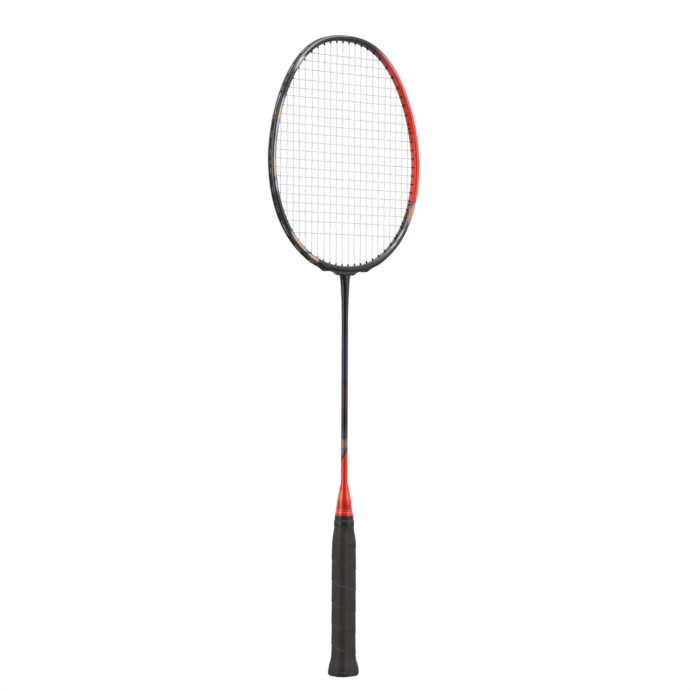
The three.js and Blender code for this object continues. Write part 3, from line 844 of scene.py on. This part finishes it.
def hoop_paint():
    """Clear-coated metallic paint: black with colour patches on one limb, red on the other."""
    recipe = Recipe(
        "frame_lacquer_paint", Coat_Weight=1.0, Coat_Roughness=0.04, Specular_IOR_Level=0.15
    )
    x, y, z = recipe.place()
    # The collar has no face angle, so it reads 0 and is painted like the outside of the hoop.
    face = recipe.attribute("face_angle")
    dark_limb = dark_limb_colour(recipe, x, y, z, face)
    red_limb = red_limb_colour(recipe, z, face)
    colour = recipe.mix(recipe.fade(x, -3.0, 3.0), dark_limb, red_limb)
    brightness = recipe.fade(recipe.noise(FLAKE_SCALE, detail=1.0), 0.3, 0.7, 0.92, 1.08)
    grey = recipe.node("CombineColor", {0: brightness, 1: brightness, 2: brightness}).outputs[0]
    recipe.use(
        Base_Color=recipe.mix(1.0, colour, grey, "MULTIPLY"),
        Metallic=0.4,
        Roughness=recipe.fade(recipe.noise(0.15), 0.3, 0.7, 0.3, 0.38),
    )
    return recipe.material


def finish_lacquer(recipe, colour, metallic, roughness):
    """Flaked paint for the shaft and cone; metallic and roughness each vary over a range."""
    recipe.use(
        Base_Color=colour,
        Metallic=recipe.fade(recipe.noise(FLAKE_SCALE, detail=1.0), 0.3, 0.7, *metallic),
        Roughness=recipe.fade(recipe.noise(0.15), 0.3, 0.7, *roughness),
    )
    return recipe.material


SHAFT_PAINT = [
    (222, TEAL), (240.4, TEAL), (241, BRONZE), (247, BRONZE), (251, RUST), (254, NAVY), (262, NIGHT),
    (270, BLACK), (280, BLACK), (284, RUST), (303, RUST), (308, BLACK), (318, DEEP_NAVY),
    (352, DEEP_NAVY), (366, BLACK), (425, BLACK),
]


def shaft_paint():
    recipe = Recipe(
        "shaft_lacquer_paint", Coat_Weight=0.75, Coat_Roughness=0.03, Specular_IOR_Level=0.15
    )
    x, y, z = recipe.place()
    # The red foot of the shaft ends in a slanted cut with a dark edge.
    slant = recipe.math("MULTIPLY_ADD", x, -1.64, recipe.math("MULTIPLY", y, 1.32))
    cut = recipe.math("ADD", z, slant)
    colour = recipe.ramp(z, 222.0, 425.0, SHAFT_PAINT)
    colour = recipe.mix(recipe.fade(cut, 234.4, 236.0), EMBER, colour)
    colour = recipe.mix(recipe.fade(cut, 231.2, 231.8), FOOT_RED, colour)
    return finish_lacquer(recipe, colour, metallic=(0.4, 0.5), roughness=(0.29, 0.35))


CONE_PAINT = [
    (155, MAROON), (168, MAROON), (170.5, FOOT_RED), (172, FOOT_RED), (172.6, CREAM), (173.2, FOOT_RED),
    (174.4, FOOT_RED), (175, CREAM), (175.6, FOOT_RED), (204, FOOT_RED),
]
# Soft patches on the cone: centre in mm, reach in mm, strength and colour.
CONE_PATCHES = [
    ((-6.4, -0.9, 190.0), 5.0, 0.75, GOLD), ((0.2, -6.4, 190.0), 4.0, 0.5, GOLD),
    ((-1.3, -7.8, 177.5), 4.2, 0.8, MAROON), ((-8.2, -0.9, 180.0), 4.2, 0.5, MAROON),
]
PATCH_STRETCH = (1.0, 1.0, 0.6)        # less than 1 draws the patches out along Z


def cone_paint():
    recipe = Recipe(
        "cone_lacquer_paint", Coat_Weight=0.75, Coat_Roughness=0.03, Specular_IOR_Level=0.15
    )
    x, y, z = recipe.place()
    colour = recipe.ramp(z, 155.0, 204.0, CONE_PAINT)
    here = recipe.point(x, y, z)
    for centre, reach, strength, shade in CONE_PATCHES:
        offset = recipe.vector("SUBTRACT", here, centre)
        offset = recipe.vector("MULTIPLY", offset, PATCH_STRETCH)
        distance = recipe.node("VectorMath", {0: offset}, operation="LENGTH").outputs["Value"]
        colour = recipe.mix(recipe.fade(distance, reach, reach * 0.2, 0.0, strength), colour, shade)
    return finish_lacquer(recipe, colour, metallic=(0.45, 0.55), roughness=(0.27, 0.33))


def nylon_black():
    recipe = Recipe("grommet_nylon_black", Specular_IOR_Level=0.4)
    mottle = recipe.noise(1.2)
    black = recipe.mix(mottle, srgb(12, 12, 13), srgb(24, 24, 26))
    # Painted light: outside the hoop the nylon is lightened to a dark grey, a lit copy of the black.
    painted_lit_grey = recipe.mix(mottle, srgb(60, 59, 62), srgb(78, 77, 81))
    recipe.use(
        Base_Color=recipe.mix(recipe.fade(recipe.attribute("level"), -1.0, 1.2), black, painted_lit_grey),
        Roughness=recipe.fade(mottle, 0.2, 0.8, 0.34, 0.5),
        Normal=recipe.bump(recipe.noise(5.0), 0.02),
    )
    return recipe.material


def string_nylon():
    recipe = Recipe("string_nylon_white", Transmission_Weight=0.35, IOR=1.45)
    fibres = recipe.noise(6.0, detail=2.0)
    recipe.use(
        Base_Color=recipe.mix(fibres, srgb(224, 225, 226), srgb(238, 238, 238)),
        Roughness=0.34,
        Normal=recipe.bump(fibres, 0.012),
    )
    return recipe.material


WEAVE_RADIANS_PER_MM = 2.2


def carbon():
    """Woven carbon for the joint, which the hoop and the shaft hide."""
    recipe = Recipe("joint_carbon_weave", Coat_Weight=0.6, Coat_Roughness=0.12)
    x, _, z = recipe.place()
    one_way, other_way = (
        recipe.math("SINE", recipe.math("MULTIPLY", recipe.math(diagonal, x, z), WEAVE_RADIANS_PER_MM))
        for diagonal in ("ADD", "SUBTRACT")
    )
    weave = recipe.fade(recipe.math("MULTIPLY", one_way, other_way), -0.6, 0.6)
    recipe.use(
        Base_Color=recipe.mix(weave, srgb(18, 18, 20), srgb(52, 52, 56)),
        Roughness=0.4,
        Normal=recipe.bump(weave, 0.05),
    )
    return recipe.material


def finish_grain(recipe, grain, colours, roughness, depth_mm):
    """Colour, roughness and relief that all follow one pattern."""
    recipe.use(
        Base_Color=recipe.mix(grain, *colours),
        Roughness=recipe.fade(grain, 0.3, 0.7, *roughness),
        Normal=recipe.bump(grain, depth_mm),
    )
    return recipe.material


def gloss_tape():
    recipe = Recipe("tape_black_gloss", Specular_IOR_Level=0.5)
    wrinkles = recipe.noise(0.25, stretch=(1.0, 1.0, 5.0))
    colours = srgb(20, 19, 20), srgb(36, 34, 35)
    return finish_grain(recipe, wrinkles, colours, roughness=(0.28, 0.42), depth_mm=0.08)


def handle_wood():
    recipe = Recipe("handle_wood_maple", Specular_IOR_Level=0.3)
    grain = recipe.noise(0.5, detail=6.0, roughness=0.6, stretch=(1.0, 1.0, 0.06))
    colours = srgb(176, 132, 84), srgb(222, 186, 138)
    return finish_grain(recipe, grain, colours, roughness=(0.5, 0.7), depth_mm=0.06)


RIB_PITCH = 2.6
PINHOLE_ROWS, PINHOLES_PER_TURN = 6.0, 21.0


def grip_polyurethane():
    """Soft tacky wrap: rows of pinholes, shallow ribs and a fine leathery skin."""
    recipe = Recipe("grip_polyurethane_black", Specular_IOR_Level=0.42)
    x, y, z = recipe.place()
    turn = recipe.math("MULTIPLY", recipe.math("ARCTAN2", y, x), 1 / (2 * math.pi))
    phase = recipe.math("ADD", recipe.math("MULTIPLY", z, 1 / WRAP_PITCH), turn)
    phase = recipe.math("ADD", phase, WRAP_START)
    rib_turns = recipe.math("ADD", recipe.math("MULTIPLY", z, 1 / RIB_PITCH), turn)
    rib = recipe.math("SINE", recipe.math("MULTIPLY", rib_turns, 2 * math.pi))
    # Distance from the nearest pinhole, squared, in shares of the spacing both ways.
    squares = [
        recipe.math("POWER", recipe.math("PINGPONG", recipe.math("MULTIPLY", value, count), 0.5), 2.0)
        for value, count in ((turn, PINHOLES_PER_TURN), (phase, PINHOLE_ROWS))
    ]
    # 0 in a pinhole and 1 on the skin round it.
    hole = recipe.fade(recipe.math("SQRT", recipe.math("ADD", *squares)), 0.07, 0.13)
    skin = recipe.noise(2.4, detail=4.0, roughness=0.6)
    broad = recipe.noise(0.12, detail=2.0)
    normal = recipe.bump(rib, 0.045)
    normal = recipe.bump(hole, 0.1, normal)
    normal = recipe.bump(skin, 0.09, normal)
    colour = recipe.mix(broad, srgb(42, 37, 38), srgb(53, 47, 47))
    # Towards the butt the wrap is darker.
    colour = recipe.mix(recipe.fade(z, 30.0, 12.0), colour, srgb(37, 33, 34))
    # Painted shade: the pinholes are darkened.
    colour = recipe.mix(hole, srgb(24, 22, 22), colour)
    # The cut lower edge of the strip is painted paler in places: partly a worn edge, partly a painted
    # highlight where the seam catches the light.
    edge = recipe.fade(recipe.math("PINGPONG", phase, 0.5), 0.045, 0.02)
    wear_and_highlight_patches = recipe.fade(recipe.noise(0.06, detail=1.0), 0.44, 0.6, 0.12, 0.7)
    edge = recipe.product(edge, recipe.fade(z, 158.0, 150.0), wear_and_highlight_patches)
    recipe.use(
        Base_Color=recipe.mix(edge, colour, srgb(88, 82, 81)),
        Roughness=recipe.fade(skin, 0.3, 0.7, 0.36, 0.5),
        Normal=normal,
    )
    return recipe.material


def cap_plastic():
    recipe = Recipe("cap_plastic_black", Specular_IOR_Level=0.4)
    colours = srgb(18, 18, 19), srgb(30, 30, 31)
    return finish_grain(recipe, recipe.noise(3.0), colours, roughness=(0.36, 0.5), depth_mm=0.03)


def wear(material, *pieces):
    for piece in pieces:
        piece.data.materials.clear()
        piece.data.materials.append(material)


# ------------------------------------------------------------------ studio and camera
CAMERA_AZIMUTH = math.radians(-38.8)
CAMERA_DISTANCE = 2.249
CAMERA_HEIGHT = 0.34805
CAMERA_SIDE_SHIFT = 0.00076
CAMERA_ROLL = math.radians(0.243)
TO_CAMERA = (math.sin(CAMERA_AZIMUTH), -math.cos(CAMERA_AZIMUTH), 0.0)
TO_CAMERA_RIGHT = (math.cos(CAMERA_AZIMUTH), math.sin(CAMERA_AZIMUTH), 0.0)
MIDDLE = Vector((0.0, 0.0, CAMERA_HEIGHT))
FLOOR_Z, FLOOR_HALF_WIDTH = -0.25, 6.0
FLOOR_GREY = (0.35, 0.35, 0.35, 1.0)


def make_camera():
    """A level camera to the front left of the racket, with a long lens."""
    data = bpy.data.cameras.new("camera")
    data.lens = 111.05
    data.sensor_width = 36.0
    data.clip_end = 50.0
    camera = bpy.data.objects.new("camera", data)
    camera.location = Vector(TO_CAMERA) * CAMERA_DISTANCE + MIDDLE
    aim = Vector(TO_CAMERA_RIGHT) * CAMERA_SIDE_SHIFT + MIDDLE
    camera.rotation_mode = "QUATERNION"
    look = (aim - camera.location).to_track_quat("-Z", "Y")
    roll = Quaternion((0.0, 0.0, 1.0), CAMERA_ROLL)
    camera.rotation_quaternion = look @ roll
    bpy.context.scene.collection.objects.link(camera)
    bpy.context.scene.camera = camera


# Brightness of the studio against the cosine of the angle from the camera's own direction.
STUDIO_LEVELS = [
    (-1.0, 1.0), (-0.3, 1.0), (0.2, 0.95), (0.5, 0.85), (0.8, 0.55), (0.92, 0.3), (0.97, 0.1),
    (1.0, 0.08),
]
LEFT_LEVEL, RIGHT_LEVEL = 0.88, 1.05
WHITE = (1.0, 1.0, 1.0, 1.0)


def make_world():
    """White behind the object; for light and reflections a pale studio, dark behind the camera."""
    world = bpy.data.worlds.new("studio")
    world.use_nodes = True
    bpy.context.scene.world = world
    nodes = Nodes(world.node_tree)
    direction = nodes.node("TexCoord", {}).outputs["Generated"]
    toward, sideways = (
        nodes.node("VectorMath", {0: direction, 1: axis}, operation="DOT_PRODUCT").outputs["Value"]
        for axis in (TO_CAMERA, TO_CAMERA_RIGHT)
    )
    studio = world.node_tree.nodes["Background"]
    greys = [(cosine, (level, level, level, 1.0)) for cosine, level in STUDIO_LEVELS]
    nodes.feed(studio.inputs["Color"], nodes.ramp(toward, -1.0, 1.0, greys))
    dimming = {"Value": sideways, "From Min": -1.0, "To Min": LEFT_LEVEL, "To Max": RIGHT_LEVEL}
    nodes.feed(studio.inputs["Strength"], nodes.node("MapRange", dimming).outputs[0])
    white = nodes.node("Background", {"Color": WHITE}).outputs[0]
    nodes.show_camera(studio.outputs[0], white, world.node_tree.nodes["World Output"])


def soft_box(name, azimuth, elevation, distance, width, height, power):
    """A large area light, placed by its bearing from the middle of the racket."""
    azimuth, elevation = math.radians(azimuth), math.radians(elevation)
    bearing = Vector((
        math.sin(azimuth) * math.cos(elevation),
        -math.cos(azimuth) * math.cos(elevation),
        math.sin(elevation),
    ))
    data = bpy.data.lights.new(name, "AREA")
    data.shape = "RECTANGLE"
    data.size, data.size_y = width, height
    data.energy = power
    light = bpy.data.objects.new(name, data)
    light.location = MIDDLE + bearing * distance
    light.rotation_mode = "QUATERNION"
    light.rotation_quaternion = (-bearing).to_track_quat("-Z", "Y")
    light.visible_camera = False
    bpy.context.scene.collection.objects.link(light)


def make_floor():
    """A plain pale floor below the held-up racket; it shows white and lights the racket little."""
    mesh = bpy.data.meshes.new("floor")
    signs = ((-1, -1), (1, -1), (1, 1), (-1, 1))
    corners = [(x * FLOOR_HALF_WIDTH, y * FLOOR_HALF_WIDTH, FLOOR_Z) for x, y in signs]
    mesh.from_pydata(corners, [], [(0, 1, 2, 3)])
    floor = bpy.data.objects.new("floor", mesh)
    bpy.context.scene.collection.objects.link(floor)
    recipe = Recipe("floor_pale", Base_Color=FLOOR_GREY, Roughness=0.9, Specular_IOR_Level=0.0)
    white = recipe.node("Emission", {"Color": WHITE}).outputs[0]
    recipe.show_camera(recipe.shader.outputs[0], white, recipe.tree.nodes["Material Output"])
    mesh.materials.append(recipe.material)


# Name, bearing from the camera's in degrees, elevation, distance, width, height and power.
SOFT_BOXES = [
    ("key_left", -54, 4, 2.6, 0.9, 2.4, 20),
    ("top", 10, 66, 2.4, 1.4, 1.2, 16),
    ("fill_right", 62, 10, 2.6, 0.9, 2.0, 9),
]


def make_studio():
    make_camera()
    make_world()
    make_floor()
    for name, bearing, *placing in SOFT_BOXES:
        soft_box(name, math.degrees(CAMERA_AZIMUTH) + bearing, *placing)
    bpy.context.scene.view_settings.view_transform = "Standard"


def make_racket():
    nodes = frame["nodes"]
    wear(hoop_paint(), make_hoop(), make_collar())
    wear(nylon_black(), *make_grommets())
    wear(string_nylon(), make_string("mains", "main", 1), make_string("crosses", "cross", -1))
    wear(carbon(), nodes["t_joint"])
    wear(shaft_paint(), make_shaft())
    wear(cone_paint(), make_cone())
    wear(gloss_tape(), make_tape())
    wear(handle_wood(), nodes["handle_core"])
    wear(grip_polyurethane(), make_wrap())
    wear(cap_plastic(), make_cap())


make_studio()
make_racket()
